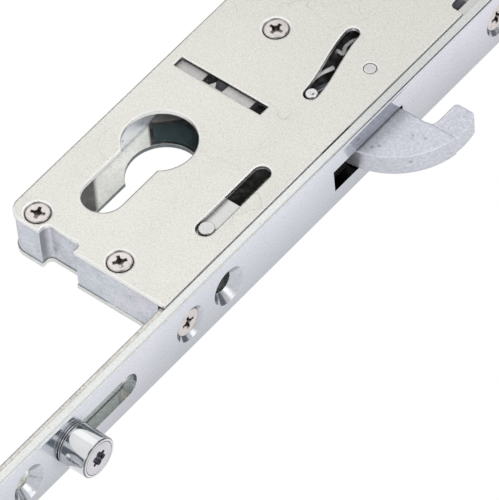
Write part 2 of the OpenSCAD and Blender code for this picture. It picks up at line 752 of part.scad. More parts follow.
// Hook outline: outer arc, nose, throat, hub and slotted tail
module hook_outline() {
    difference() {
        union() {
            intersection() {
                translate([pivot_x + hook_arc_x, hook_arc_z]) circle(hook_r, $fn = 160);
                union() {
                    box2(pivot_x - 4.4, pivot_x + 40, pivot_z - 40, throat_z);
                    box2(pivot_x + hook_throat_x, pivot_x + 40, pivot_z - 40, nose_z);
                }
            }
            translate([pivot_x + hook_throat_x, throat_z]) mirror([1, 0]) corner_fill(hook_fillet);
            translate([pivot_x, pivot_z]) circle(d = pivot_d + 7.6);
            ribbon([[pivot_x, pivot_z - 1], [pin_x, pin_z]], 8);
        }
        translate([arc_edge_x(nose_z), nose_z]) rotate(180) corner_cut(nose_r);
        translate([pivot_x + hook_throat_x, nose_z]) mirror([0, 1]) corner_cut(nose_r * 0.8);
        translate([pivot_x, pivot_z]) circle(d = pivot_d + 2 * fit);
        translate([pivot_x, pivot_z]) hook_tail_slot();
    }
}

// Hook bolt, a casting with a shallow recess on both sides of the nose
module hook_bolt() {
    color([0.80, 0.80, 0.84]) difference() {
        plate(-hook_t / 2, hook_t / 2) hook_outline();
        for (y = [-hook_t / 2 - past, hook_t / 2 - hook_recess])
            plate(y, y + hook_recess + past)
                box2(pivot_x + hook_throat_x - 3, pivot_x + hook_throat_x + 6.9, throat_z + 0.3, nose_z + past);
    }
}

// Pivot pin, riveted at both ends into the covers
module hook_pivot_pin() {
    color([0.82, 0.81, 0.81]) {
        pin_y(pivot_x, pivot_z, pivot_d, -inner_y, slide_y0 - 0.15);
        turned_pin(pivot_x, pivot_z, pivot_end_d, -outer_y, outer_y);
    }
}

// Spacer rings on the pivot pin at both sides of the hook
module hook_spacers() {
    color([0.72, 0.70, 0.66]) for (side = [[-inner_y + 0.02, -hook_t / 2 - 0.1], [hook_t / 2 + 0.1, slide_y0 - 0.15]])
        difference() {
            pin_y(pivot_x, pivot_z, pivot_d + 3.2, side[0], side[1]);
            pin_y(pivot_x, pivot_z, pivot_d + 2 * fit, side[0] - past, side[1] + past);
        }
}

// Pin that swings the hook: it runs in the covers' bent slots, in the cross slot of the
// rear slide plate and in the slot of the hook's tail
module hook_drive_pin() {
    color([0.86, 0.86, 0.87]) difference() {
        union() {
            turned_pin(pin_x, pin_z, drive_pin_d, -outer_y + 0.1, outer_y - 0.1);
            pin_y(pin_x, pin_z, drive_pin_d + 2, hook_t / 2 + 0.2, slide_y0 - 0.1);
        }
        translate([pin_x, -outer_y, pin_z]) rotate([-90, 0, 0]) cylinder(d1 = 1.9, d2 = 0.4, h = 0.3);
    }
}

// Handle follower: square hub, forked arm to the slide, and a lug for the latch lever
module follower() {
    color([0.72, 0.71, 0.69]) difference() {
        union() {
            pin_y(0, spindle_z, hub_d, -outer_y, outer_y);
            plate(arm_y0, arm_y1) translate([0, spindle_z]) rotate(arm_rest) difference() {
                union() {
                    circle(d = hub_d + 3);
                    box2(0, arm_x + fork_reach, -fork_w / 2 - 1.9, fork_w / 2 + 1.9);
                }
                box2(arm_x - follower_pin_d / 2 - 0.5, arm_x + fork_reach + past, -fork_w / 2, fork_w / 2);
            }
            plate(lever_y0, lever_y1) translate([0, spindle_z]) intersection() {
                circle(d = hub_d + 4);
                fan(hub_d, 200, 230);
            }
        }
        translate([-square_af / 2, -outer_y - past, spindle_z - square_af / 2])
            cube([square_af, 2 * (outer_y + past), square_af]);
    }
}

// Latch lever: a ring on the hub with lost motion for the lug, and a finger in the latch
module latch_lever() {
    color([0.70, 0.71, 0.74]) plate(lever_y0, lever_y1) translate([0, spindle_z]) difference() {
        union() {
            circle(d = ring_d);
            rotate(lever_rest) box2(0, lever_r, -2, 2);
            translate([lever_tip_x, lever_r * sin(lever_rest)]) circle(d = lever_tip_d);
            rotate(lever_rest) translate([lever_r - 1, 0]) circle(d = lever_tip_d);
        }
        circle(d = hub_d + 2 * run);
        intersection() {
            circle(d = hub_d + 4 + 2 * run);
            fan(hub_d, 176, 276);
        }
    }
}

// Latch bolt: bevelled head, tail with a notch for the lever, and the spring's stem
module latch_bolt() {
    tail_low = latch_z - 7.2;
    notch_top = spindle_z + lever_r + lever_tip_d / 2 + 0.6;
    color([0.82, 0.82, 0.85]) difference() {
        union() {
            translate([0, 0, latch_z - latch_h / 2]) linear_extrude(height = latch_h) polygon([
                [latch_back_x, -latch_half], [face_x + 0.8, -latch_half],
                [face_x + latch_throw, latch_half - latch_tip], [face_x + latch_throw, latch_half],
                [latch_back_x, latch_half]]);
            plate(-3.5, 3.5) box2(latch_tail_x0, latch_back_x + 0.01, tail_low, latch_z + 3);
            pin_x(0, spring_z, 3, 3, 2, latch_back_x + 0.01);
        }
        plate(-latch_half - past, latch_half + past)
            box2(lever_tip_x - lever_tip_d / 2 - 0.3, lever_tip_x + lever_tip_d / 2 + 0.6, tail_low - past, notch_top);
    }
}

// Coil spring as one tube whose rings follow a helix along X
module coil_x(x0, x1, z, coil_d, wire_d, turns) {
    rings = turns * 8;
    sides = 6;
    lead = (x1 - x0 - wire_d) / turns;
    rise = atan(lead / (PI * coil_d));
    points = [for (i = [0 : rings]) let (a = 360 * i / 8) for (j = [0 : sides - 1])
        let (b = 360 * j / sides,
            out = coil_d / 2 + wire_d / 2 * cos(b),
            side = wire_d / 2 * sin(b))
        [x0 + wire_d / 2 + lead * i / 8 + side * cos(rise),
            out * cos(a) + side * sin(rise) * sin(a),
            z + out * sin(a) - side * sin(rise) * cos(a)]];
    walls = [for (i = [0 : rings - 1]) for (j = [0 : sides - 1]) let (k = (j + 1) % sides)
        each [[i * sides + j, (i + 1) * sides + k, i * sides + k],
            [i * sides + j, (i + 1) * sides + j, (i + 1) * sides + k]]];
    ends = [for (j = [1 : sides - 2])
        each [[0, j, j + 1], [rings * sides, rings * sides + j + 1, rings * sides + j]]];
    echo(least_gap = lead * cos(rise) - wire_d);
    polyhedron(points = points, faces = concat(walls, ends));
}

// Spring that throws the latch bolt
module latch_spring() {
    color([0.62, 0.63, 0.66])
        coil_x(spring_stop_x + 0.05, latch_back_x - 0.05, spring_z, spring_d, spring_wire_d, spring_turns);
}

// Locking slide, pushed sideways by the cylinder's cam; two notches hold its positions
module locking_slide() {
    lug_w = 3.6;
    color([0.82, 0.81, 0.80]) union() {
        plate(lock_y0, lock_y1) difference() {
            box2(lock_x0, lock_x1, lock_low, lock_top);
            polygon([[-4.5, lock_top + past], [-4.3, detent_floor], [-2.3, detent_floor], [-1.4, detent_floor + 1.5],
                [-0.5, detent_floor], [1.4, detent_floor], [1.8, lock_top + past]]);
            for (at = lock_rivet_at)
                bar2(at - [lock_travel + 0.3, 0], at + [0.1, 0], 2.1);
        }
        plate(lock_y0, 1) for (x = [-7.6, 4])
            box2(x, x + lug_w, cam_r - 3.2, lock_low + 0.01);
    }
}

// Rivets on the rear cover that carry the locking slide
module slide_rivets() {
    color([0.70, 0.70, 0.70]) for (at = lock_rivet_at) {
        pin_y(at[0], at[1], 1.8, lock_y0 + 0.02, lock_y1 + 0.3);
        pin_y(at[0], at[1], 2.8, lock_y1 + 0.25, inner_y);
    }
}

// Leaf spring whose tip drops into the locking slide's notches
module detent_spring() {
    z0 = lock_top + 0.25;
    color([0.60, 0.61, 0.64]) plate(lock_y0 + 0.1, lock_y1)
        polygon([[lock_x0 + 0.2, z0], [-4.3, z0], [-3.6, detent_floor + 0.3], [-3.1, detent_floor + 0.3],
            [-2.4, z0], [3.4, z0], [3.4, z0 + 0.45], [-2.7, z0 + 0.45], [-3.35, detent_floor + 1],
            [-4.05, z0 + 0.45], [lock_x0 + 0.2, z0 + 0.45]]);
}

// Eccentric roller stud: riveted neck in the rod, offset journal and a lobed recess
module roller_stud(z) {
    ez = z + eccentric;
    color([0.86, 0.86, 0.87]) difference() {
        union() {
            pin_x(0, z, neck_d, neck_d, rod_x0 - 0.4, neck_x1);
            pin_x(0, z, neck_d + 1.4, neck_d + 1.4, rod_x0 - 0.8, rod_x0);
            pin_x(0, ez, journal_d, journal_d, neck_x1, roller_x1);
            pin_x(0, ez, stud_head_d, stud_head_d, roller_x1 - 1.4, roller_x1);
        }
        panel(roller_x1 - recess_depth, roller_x1 + past) translate([0, ez]) {
            circle(r = recess_r + 0.15, $fn = 24);
            for (i = [0 : 5])
                rotate(60 * i) translate([recess_r, 0]) circle(d = 1.3, $fn = 20);
        }
    }
}
module lower_roller_stud() {
    roller_stud(low_roller_z);
}
module upper_roller_stud() {
    roller_stud(top_roller_z);
}

// Roller sleeve that turns on the stud's journal, with rounded rims
module roller_sleeve(z) {
    x0 = roller_x0;
    x1 = roller_x1;
    rim = 0.5;
    r = roller_d / 2;
    color([0.88, 0.88, 0.88]) translate([0, 0, z + eccentric]) rotate([0, 90, 0]) difference() {
        rotate_extrude($fn = 96) polygon([[0, x0], [r - rim, x0],
            for (a = [-75 : 15 : 0]) [r - rim + rim * cos(a), x0 + rim + rim * sin(a)],
            for (a = [0 : 15 : 75]) [r - rim + rim * cos(a), x1 - rim + rim * sin(a)],
            [r - rim, x1], [0, x1]]);
        translate([0, 0, x0 - past]) cylinder(d = journal_d + 2 * run, h = roller_l + 2 * past);
        translate([0, 0, x1 - 1.4 - run]) cylinder(d = stud_head_d + 2 * run, h = 2 * past + 1);
    }
}
module lower_roller_sleeve() {
    roller_sleeve(low_roller_z);
}
module upper_roller_sleeve() {
    roller_sleeve(top_roller_z);
}

// Washer between roller and faceplate
module roller_washer(z) {
    color([0.45, 0.45, 0.46]) difference() {
        pin_x(0, z + eccentric, stud_head_d, stud_head_d, washer_x0, washer_x0 + washer_t);
        pin_x(0, z + eccentric, journal_d + 2 * fit, journal_d + 2 * fit, face_x - past, face_x + 2);
    }
}
module lower_roller_washer() {
    roller_washer(low_roller_z);
}
module upper_roller_washer() {
    roller_washer(top_roller_z);
}

faceplate();
lower_drive_rod();
upper_drive_rod();
rod_guides();
case_body();
front_cover();
rear_cover();
cover_screws();
faceplate_screws();
front_bush();
rear_bush();
front_slide_plate();
rear_slide_plate();
slide_guide_pin();
follower_pin();
hook_bolt();
hook_pivot_pin();
hook_spacers();
hook_drive_pin();
follower();
latch_lever();
latch_bolt();
latch_spring();
locking_slide();
slide_rivets();
detent_spring();
lower_roller_stud();
lower_roller_sleeve();
lower_roller_washer();
upper_roller_stud();
upper_roller_sleeve();
upper_roller_washer();
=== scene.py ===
"""Looks, lights and camera of the multipoint door lock. Metres, in the frame of the CAD part."""

import math

import bpy
from mathutils import Matrix, Vector


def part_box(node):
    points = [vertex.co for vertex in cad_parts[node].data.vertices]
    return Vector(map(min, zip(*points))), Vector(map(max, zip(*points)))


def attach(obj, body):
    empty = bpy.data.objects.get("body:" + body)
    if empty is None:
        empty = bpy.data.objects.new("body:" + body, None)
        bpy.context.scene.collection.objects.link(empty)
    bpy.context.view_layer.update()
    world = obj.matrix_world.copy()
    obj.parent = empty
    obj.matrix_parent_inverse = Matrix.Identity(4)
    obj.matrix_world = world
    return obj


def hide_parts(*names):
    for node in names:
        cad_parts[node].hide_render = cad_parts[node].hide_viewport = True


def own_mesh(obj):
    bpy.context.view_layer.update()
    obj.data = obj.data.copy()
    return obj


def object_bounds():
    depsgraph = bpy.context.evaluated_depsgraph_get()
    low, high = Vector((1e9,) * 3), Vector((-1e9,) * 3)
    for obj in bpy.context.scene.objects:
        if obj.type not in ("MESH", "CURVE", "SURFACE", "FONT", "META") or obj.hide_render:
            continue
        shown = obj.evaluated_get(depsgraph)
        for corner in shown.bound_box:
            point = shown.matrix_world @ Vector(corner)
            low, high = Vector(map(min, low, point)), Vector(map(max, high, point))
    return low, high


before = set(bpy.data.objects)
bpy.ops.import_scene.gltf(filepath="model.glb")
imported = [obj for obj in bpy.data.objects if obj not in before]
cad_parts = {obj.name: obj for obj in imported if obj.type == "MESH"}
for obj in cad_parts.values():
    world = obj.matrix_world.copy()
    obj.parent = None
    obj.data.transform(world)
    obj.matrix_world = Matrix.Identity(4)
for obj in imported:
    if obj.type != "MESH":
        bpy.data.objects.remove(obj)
cad_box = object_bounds()
scene = bpy.context.scene
scene.view_settings.view_transform = "Standard"

MM = 0.001
WHITE = (1.0, 1.0, 1.0, 1.0)
BUMP_HEIGHT = 0.03 * MM


# Camera: a long lens in front of the faceplate's edge, on the cover's side and below the lock
LENS = 492.475
SENSOR = 36
CAM_RIGHT = (0.77219526, 0.06810967, 0.63172427)
CAM_UP = (-0.45457507, -0.63543664, 0.62416486)
CAM_BACK = (0.44393241, -0.76914325, -0.45972021)
CAM_AT = (0.6919967, -1.14327704, -0.69204752)

cam_data = bpy.data.cameras.new("camera")
cam_data.lens = LENS
cam_data.sensor_width = SENSOR
cam_data.clip_start = 0.05
cam_data.clip_end = 30
camera = bpy.data.objects.new("camera", cam_data)
scene.collection.objects.link(camera)
camera.matrix_world = Matrix(
    [(CAM_RIGHT[i], CAM_UP[i], CAM_BACK[i], CAM_AT[i]) for i in range(3)] + [(0, 0, 0, 1)]
)
scene.camera = camera


# Node helpers
def rgba(color, gain=1.0):
    return tuple(min(c * gain, 1.0) for c in color) + (1.0,)


class Nodes:
    """Short calls that add and link shader nodes."""

    def __init__(self, tree):
        self.tree = tree

    def feed(self, socket, value):
        """Link another node's output to the socket, or set the value on it."""
        if isinstance(value, bpy.types.NodeSocket):
            self.tree.links.new(value, socket)
        else:
            socket.default_value = value

    def add(self, kind, values=(), **settings):
        node = self.tree.nodes.new(kind)
        for key, value in settings.items():
            setattr(node, key, value)
        for key, value in dict(values).items():
            self.feed(node.inputs[key], value)
        return node

    def noise(self, vector, scale, detail=2.0, rough=0.5):
        values = {"Vector": vector, "Scale": scale, "Detail": detail, "Roughness": rough}
        return self.add("ShaderNodeTexNoise", values).outputs["Fac"]

    def remap(self, value, lo, hi, out_lo, out_hi):
        values = {"Value": value, "From Min": lo, "From Max": hi, "To Min": out_lo, "To Max": out_hi}
        return self.add("ShaderNodeMapRange", values).outputs["Result"]

    def math(self, operation, a, b):
        return self.add("ShaderNodeMath", {0: a, 1: b}, operation=operation).outputs[0]

    def times(self, first, *others):
        for other in others:
            first = self.math("MULTIPLY", first, other)
        return first

    def mix(self, factor, a, b, blend="MIX"):
        values = {0: factor, 6: a, 7: b}
        node = self.add("ShaderNodeMix", values, data_type="RGBA", blend_type=blend)
        return node.outputs[2]

    def dot(self, a, b):
        return self.add("ShaderNodeVectorMath", {0: a, 1: b}, operation="DOT_PRODUCT").outputs["Value"]

    def open_air(self, reach):
        """1 in the open, falling to 0 where other faces stand within reach."""
        return self.add("ShaderNodeAmbientOcclusion", {"Distance": reach}, samples=8).outputs["AO"]


# Metal
class Metal:
    """The shader of one metal, built from its tone over its levels, marks and painted light and shade to
    its relief.
    """

    # Half of the soft border between two painted places
    soft = 0.5 * MM
    # How light each mark, each painted highlight and each painted shade is beside the metal's own color
    worn_glint_gain = 1.45
    hairline_gain = 0.72
    pit_gain = 0.45
    scratch_gain = 0.4
    crevice_shade_gain = 0.12
    rim_shade_gain = 0.1

    def __init__(self, name, color, mottle, grain):
        self.mat = bpy.data.materials.new(name)
        self.mat.use_nodes = True
        self.inputs = self.mat.node_tree.nodes["Principled BSDF"].inputs
        self.n = Nodes(self.mat.node_tree)
        self.color = color
        self.mottle = mottle
        self.grain = grain
        self.where = self.n.add("ShaderNodeTexCoord").outputs["Object"]
        self.place = self.n.add("ShaderNodeSeparateXYZ", {0: self.where}).outputs
        self.normal = self.n.add("ShaderNodeNewGeometry").outputs["Normal"]
        self.facing = self.n.add("ShaderNodeSeparateXYZ", {0: self.normal}).outputs
        self.patches = self.n.noise(self.where, mottle, 3.0, 0.6)
        self.speckle = self.n.noise(self.where, grain, 2.0, 0.65)
        self.tone = rgba(color)
        self.height = self.speckle

    def blend(self, factor, color, gain=1.0):
        """Lay a color over the tone."""
        self.tone = self.n.mix(factor, self.tone, rgba(color, gain))

    def dim(self, level):
        """Multiply the level that the tone gets in the end."""
        self.gain = self.n.times(self.gain, level)

    def turned_to_cover(self, most=1.0, least=0.0):
        """From least to most, by how far a face is turned to -Y, the side of the screw heads."""
        return self.n.remap(self.facing["Y"], -0.3, -0.8, least, most)

    def sideways(self):
        """How far a face is turned to -Y or +Y."""
        return self.n.math("ABSOLUTE", self.facing["Y"], 0)

    def paint_clouds(self, tint):
        """Broad clouds of a second tint."""
        clouds = self.n.noise(self.where, self.mottle * 0.45, 2.0, 0.5)
        self.blend(self.n.remap(clouds, 0.48, 0.72, 0, 0.6), tint)

    def paint_flanks(self, color):
        """Faces turned to -Y or +Y."""
        self.blend(self.n.remap(self.sideways(), 0.5, 0.95, 0, 1), color)

    def paint_inner_light(self, color):
        """Faces turned to -Y, painted in a lighter color as painted light."""
        self.blend(self.turned_to_cover(), color)

    def paint_wall_shade(self, color, low, high):
        """Cut walls between two heights, painted dark as painted shade."""
        above_low = self.n.remap(self.place["Z"], low - self.soft, low + self.soft, 0, 1)
        below_high = self.n.remap(self.place["Z"], high - self.soft, high + self.soft, 1, 0)
        walls = self.n.remap(self.sideways(), 0.4, 0.8, 1, 0)
        self.blend(self.n.times(above_low, walls, below_high), color)

    def vary(self, mottle_amount, grain_amount):
        """Uneven patches and fine grain in the level."""
        broad = self.n.remap(self.patches, 0.3, 0.7, 1 - mottle_amount, 1 + mottle_amount)
        fine = self.n.remap(self.speckle, 0.3, 0.7, 1 - grain_amount, 1 + grain_amount)
        self.gain = self.n.times(broad, fine)

    def shade_across(self, cover_side, far_side):
        """Painted light and shade: the level changes evenly over the strip's width."""
        half = 8 * MM
        self.dim(self.n.remap(self.place["Y"], -half, half, cover_side, far_side))

    def light_and_shade_right_side(self, below, border, above):
        """Painted light and shade: faces turned to +X have one level below a height and another above it.
        """
        level = self.n.remap(self.place["Z"], border - self.soft, border + self.soft, below - 1, above - 1)
        to_front = self.n.remap(self.facing["X"], 0.4, 0.95, 0, 1)
        self.dim(self.n.math("ADD", 1, self.n.times(to_front, level)))

    def level_unlit(self, low, low_level, high, high_level):
        """Faces turned to -Y that no light reaches, where x + z is below one limit or above another."""
        along = self.n.math("ADD", self.place["X"], self.place["Z"])
        before = self.n.remap(along, low - 1.4 * MM, low, 1 - low_level, 0)
        after = self.n.remap(along, high, high + 0.8 * MM, 0, 1 - high_level)
        lost = self.n.times(self.n.math("ADD", before, after), self.turned_to_cover())
        self.dim(self.n.math("SUBTRACT", 1, lost))

    def shade_cut_side(self, past_y, low, high, level):
        """Painted shade on walls turned to -Y that lie past a plane of Y and between two heights."""
        beyond = self.n.remap(self.place["Y"], past_y - 0.2 * MM, past_y, 0, 1)
        above_low = self.n.remap(self.place["Z"], low - self.soft, low, 0, 1)
        below_high = self.n.remap(self.place["Z"], high, high + self.soft, 1, 0)
        lost = self.n.times(beyond, self.turned_to_cover(1 - level), above_low, below_high)
        self.dim(self.n.math("SUBTRACT", 1, lost))

    def shade_inside(self, plane, level):
        """Painted shade on all that lies behind a plane of X."""
        self.dim(self.n.remap(self.place["X"], plane - 0.3 * MM, plane + 0.3 * MM, level, 1))

    def shade_deep(self, reach, low, high):
        """Painted shade on what lies far inside a gap."""
        self.dim(self.n.remap(self.n.open_air(reach), low, high, 0.08, 1))

    def apply_levels(self):
        """Multiply the tone by the gathered levels: random patches and grain, and the painted shade and
        light.
        """
        values = {"Red": self.gain, "Green": self.gain, "Blue": self.gain}
        grey = self.n.add("ShaderNodeCombineColor", values).outputs[0]
        self.tone = self.n.mix(1.0, self.tone, grey, "MULTIPLY")

    def add_pits(self, amount):
        """Small dark pits in clusters."""
        values = {"Vector": self.where, "Scale": self.grain * 0.3}
        cells = self.n.add("ShaderNodeTexVoronoi", values).outputs["Distance"]
        rare = self.n.noise(self.where, self.grain * 0.12, 1.0)
        pit = self.n.times(self.n.remap(cells, 0.05, 0.25, 1, 0), self.n.remap(rare, 0.52, 0.58, 0, 1))
        self.blend(self.n.times(pit, amount), self.color, self.pit_gain)
        self.height = self.n.math("SUBTRACT", self.height, self.n.times(pit, 2.0))

    def add_hairlines(self, stretch, amount):
        """Fine darker lines, drawn out along the axis with the smallest stretch."""
        values = {"Vector": self.where, "Scale": stretch}
        drawn = self.n.add("ShaderNodeMapping", values).outputs["Vector"]
        lines = self.n.noise(drawn, 1.0, 3.0, 0.7)
        hairline = self.n.times(self.n.remap(lines, 0.45, 0.75, 0, 1), amount)
        self.blend(hairline, self.color, self.hairline_gain)
        self.height = self.n.math("ADD", self.height, self.n.times(lines, 1.2))

    def add_scratches(self, amount):
        """A few bent dark scratches."""
        drift = self.n.add("ShaderNodeTexNoise", {"Vector": self.where, "Scale": 70.0}).outputs["Color"]
        bend = {0: drift, 1: (0.02, 0.02, 0.02), 2: self.where}
        bent = self.n.add("ShaderNodeVectorMath", bend, operation="MULTIPLY_ADD").outputs[0]
        values = {"Vector": bent, "Scale": 75.0}
        seam = self.n.add("ShaderNodeTexVoronoi", values, feature="DISTANCE_TO_EDGE").outputs["Distance"]
        here = self.n.remap(self.n.noise(self.where, 48, 1.0), 0.52, 0.62, 0, 1)
        scratch = self.n.times(self.n.remap(seam, 0.004, 0.012, 1, 0), here)
        self.blend(self.n.times(scratch, amount), self.color, self.scratch_gain)
        self.height = self.n.math("SUBTRACT", self.height, scratch)

    def round_edges(self, radius):
        """A normal that is rounded at edges, for the relief and the wear."""
        self.bevel = self.n.add("ShaderNodeBevel", {"Radius": radius}, samples=6).outputs[0]

    def wear_and_glint_edges(self, amount, metallic):
        """Brighter and less metallic edges, where the rounded normal leaves the flat one, save those
        turned up and back: partly rubbed metal, partly a painted highlight."""
        worn_glint = self.n.times(self.n.remap(self.n.dot(self.bevel, self.normal), 0.9998, 0.985, 0, 1),
                            self.n.remap(self.patches, 0.35, 0.6, 0.5, 1))
        up_and_back = self.n.dot(self.bevel, (-0.707, 0.0, 0.707))
        rim = self.n.times(worn_glint, self.n.remap(up_and_back, 0.02, 0.2, 1, 0), amount)
        self.blend(rim, self.color, self.worn_glint_gain)
        self.n.feed(self.inputs["Metallic"], self.n.remap(rim, 0, 1, metallic, 0.1))

    def dull(self, metallic, amount):
        """Faces turned to -Y are less metallic by the amount."""
        self.n.feed(self.inputs["Metallic"], self.turned_to_cover(1 - amount, metallic))

    def paint_rim_shade(self, amount):
        """Painted shade on rims where the normal leans to +X."""
        lean = self.facing["X"]
        rim = self.n.times(self.n.remap(lean, 0.35, 0.6, 0, amount), self.n.remap(lean, 0.9, 0.98, 1, 0))
        self.blend(rim, self.color, self.rim_shade_gain)

    def add_crevice_shade(self, amount, reach):
        """Painted shade in crevices, where other faces stand close."""
        self.blend(self.n.remap(self.n.open_air(reach), 0.25, 0.85, amount, 0), self.color, self.crevice_shade_gain)

    def finish(self, rough, spread, bump):
        """Hand the tone, the relief and an uneven roughness to the shader."""
        relief = {"Strength": bump, "Distance": BUMP_HEIGHT, "Height": self.height, "Normal": self.bevel}
        uneven = self.n.remap(self.patches, 0.3, 0.7, rough - spread, rough + spread)
        self.n.feed(self.inputs["Base Color"], self.tone)
        self.n.feed(self.inputs["Normal"], self.n.add("ShaderNodeBump", relief).outputs[0])
        self.n.feed(self.inputs["Roughness"], uneven)


def metal(name, color, rough, *, grain=2600, grain_amount=0.05, mottle=90, mottle_amount=0.06, tint=None,
          flanks=None, inner=None, hole=None, across=None, right_side=None, unlit=None, cut_side=None,
          inside=None, deep=None, pits=0.0, hair=None, hair_amount=0.0, scratches=0.0, edge=0.15 * MM,
          wear_and_glint=0.10, dull=0.0, outline=0.0, crevice_shade=0.5, crevice_shade_reach=1.2 * MM, bump=0.12,
          rough_spread=0.08, metallic=1.0):
    """Worked or cast metal. What an option paints is said at the step of Metal that it leads to."""
    m = Metal(name, color, mottle, grain)
    if tint:
        m.paint_clouds(tint)
    if flanks:
        m.paint_flanks(flanks)
    if inner:
        m.paint_inner_light(inner)
    if hole:
        m.paint_wall_shade(**hole)
    m.vary(mottle_amount, grain_amount)
    if across:
        m.shade_across(**across)
    if right_side:
        m.light_and_shade_right_side(**right_side)
    if unlit:
        m.level_unlit(**unlit)
    if cut_side:
        m.shade_cut_side(**cut_side)
    if inside:
        m.shade_inside(**inside)
    if deep:
        m.shade_deep(**deep)
    m.apply_levels()
    if pits:
        m.add_pits(pits)
    if hair:
        m.add_hairlines(hair, hair_amount)
    if scratches:
        m.add_scratches(scratches)
    m.round_edges(edge)
    m.inputs["Metallic"].default_value = metallic
    if wear_and_glint:
        m.wear_and_glint_edges(wear_and_glint, metallic)
    if dull:
        m.dull(metallic, dull)
    if outline:
        m.paint_rim_shade(outline)
    if crevice_shade:
        m.add_crevice_shade(crevice_shade, crevice_shade_reach)
    m.finish(rough, rough_spread, bump)
    return m.mat


def plastic(name, color, rough):
    """Moulded plastic with a fine matt grain."""
    mat = bpy.data.materials.new(name)
    mat.use_nodes = True
    n = Nodes(mat.node_tree)
    inputs = mat.node_tree.nodes["Principled BSDF"].inputs
    where = n.add("ShaderNodeTexCoord").outputs["Object"]
    grain = n.noise(where, 4200, 3.0, 0.6)
    clouds = n.noise(where, 150, 2.0)
    relief = {"Strength": 0.25, "Distance": BUMP_HEIGHT, "Height": grain}
    tone = n.mix(n.remap(clouds, 0.3, 0.7, 0, 1), rgba(color, 0.85), rgba(color, 1.2))
    n.feed(inputs["Base Color"], tone)
    n.feed(inputs["Normal"], n.add("ShaderNodeBump", relief).outputs[0])
    n.feed(inputs["Roughness"], n.remap(grain, 0.3, 0.7, rough - 0.1, rough + 0.1))
    return mat


# Materials
# Darkening in crevices, in the materials that have it, is painted shade.
COVER_FLANKS = (0.70, 0.69, 0.645)
# Where the painted shade behind the hook's slot lies
HOOK_SLOT_LOW = 12 * MM
HOOK_SLOT_HIGH = 26.2 * MM
BEHIND_STRIP = 3 * MM

cover = metal(
    "cover_zinc", (0.86, 0.86, 0.83), 0.34, flanks=COVER_FLANKS, grain=2400, grain_amount=0.12, pits=0.3,
    hair=(70, 400, 2600), hair_amount=0.06, mottle=45, mottle_amount=0.035, edge=0.6 * MM, wear_and_glint=0.95,
    crevice_shade=0.9, crevice_shade_reach=1.5 * MM, scratches=0.25,
    # The window's walls are painted black, as painted shade.
    hole=dict(color=(0.02, 0.02, 0.02), low=18 * MM, high=28 * MM))
rear = metal(
    # The inner face is painted lighter, as painted light.
    "rear_zinc", (0.70, 0.72, 0.70), 0.36, flanks=COVER_FLANKS, inner=(0.90, 0.905, 0.85), grain=2400,
    grain_amount=0.12, pits=0.3, hair=(400, 400, 400), hair_amount=0.25, mottle=110, mottle_amount=0.10,
    edge=0.3 * MM, wear_and_glint=0.6, crevice_shade=0.6, dull=0.85,
    # The cut walls above the bottom edge are painted dark, as painted shade.
    hole=dict(color=(0.13, 0.15, 0.16), low=-26 * MM, high=200 * MM),
    unlit=dict(low=-20.9 * MM, low_level=0.13, high=-3.4 * MM, high_level=0.03))
strip = metal(
    "strip_zinc", (0.60, 0.62, 0.67), 0.17, tint=(0.68, 0.62, 0.71), flanks=(0.56, 0.57, 0.56), grain=2400,
    grain_amount=0.11, pits=0.3, mottle=38, mottle_amount=0.04, hair=(2200, 2200, 12), hair_amount=0.16,
    edge=0.12 * MM, wear_and_glint=0.6, rough_spread=0.04, crevice_shade=0.45, crevice_shade_reach=4 * MM,
    # Painted light and shade: lighter on the cover's side of the strip, darker on the far side.
    across=dict(cover_side=1.16, far_side=0.78),
    # Painted shade on the walls behind the hook's slot.
    cut_side=dict(past_y=BEHIND_STRIP, low=HOOK_SLOT_LOW, high=HOOK_SLOT_HIGH, level=0.1))
casting = metal(
    "case_casting", (0.66, 0.69, 0.75), 0.40, tint=(0.78, 0.70, 0.78), grain=1500, grain_amount=0.14,
    pits=0.5, mottle=220, mottle_amount=0.13, bump=0.7, edge=0.3 * MM, wear_and_glint=0.6, metallic=0.55, crevice_shade=0.6,
    # Painted shade and light: faces turned to +X are darker low down and lighter above.
    crevice_shade_reach=2 * MM, right_side=dict(below=0.5, border=-30 * MM, above=1.5))
hook = metal(
    "hook_casting", (0.61, 0.62, 0.68), 0.40, grain=1500, grain_amount=0.14, pits=0.9, mottle=170,
    mottle_amount=0.07, bump=0.5, edge=0.5 * MM, wear_and_glint=0.6, metallic=0.75,
    # Painted shade: darker deep in gaps and in the part inside the case.
    deep=dict(reach=5 * MM, low=0.12, high=0.5), inside=dict(plane=29.5 * MM, level=0.2))
rod = metal(
    "rod_zinc", (0.86, 0.93, 0.91), 0.33, flanks=(0.62, 0.60, 0.56), grain=1700, grain_amount=0.24,
    hair=(300, 300, 40), hair_amount=0.2, mottle=80, mottle_amount=0.08, metallic=0.9, edge=0.5 * MM,
    crevice_shade=0.15, crevice_shade_reach=1.5 * MM)
slide = metal(
    "slide_zinc", (0.62, 0.62, 0.61), 0.28, hair=(60, 600, 2600), hair_amount=0.25, mottle=110,
    mottle_amount=0.07, wear_and_glint=0.5, metallic=0.85,
    # Painted shade on the walls behind the hook's slot.
    cut_side=dict(past_y=BEHIND_STRIP, low=HOOK_SLOT_LOW, high=HOOK_SLOT_HIGH, level=0.12))
lock = metal(
    "lock_slide_steel", (0.53, 0.52, 0.505), 0.36, grain=1600, grain_amount=0.12, hair=(60, 600, 2600),
    hair_amount=0.3, mottle=260, mottle_amount=0.12, wear_and_glint=0.6, metallic=0.15, crevice_shade=0.2,
    # Painted shade: faces turned to +X are dark.
    right_side=dict(below=0.1, border=0.1, above=0.1))
guide = metal("guide_steel", (0.58, 0.58, 0.57), 0.24, grain_amount=0.10, mottle=400, mottle_amount=0.10,
              edge=0.4 * MM, wear_and_glint=0.8, crevice_shade=0.8)
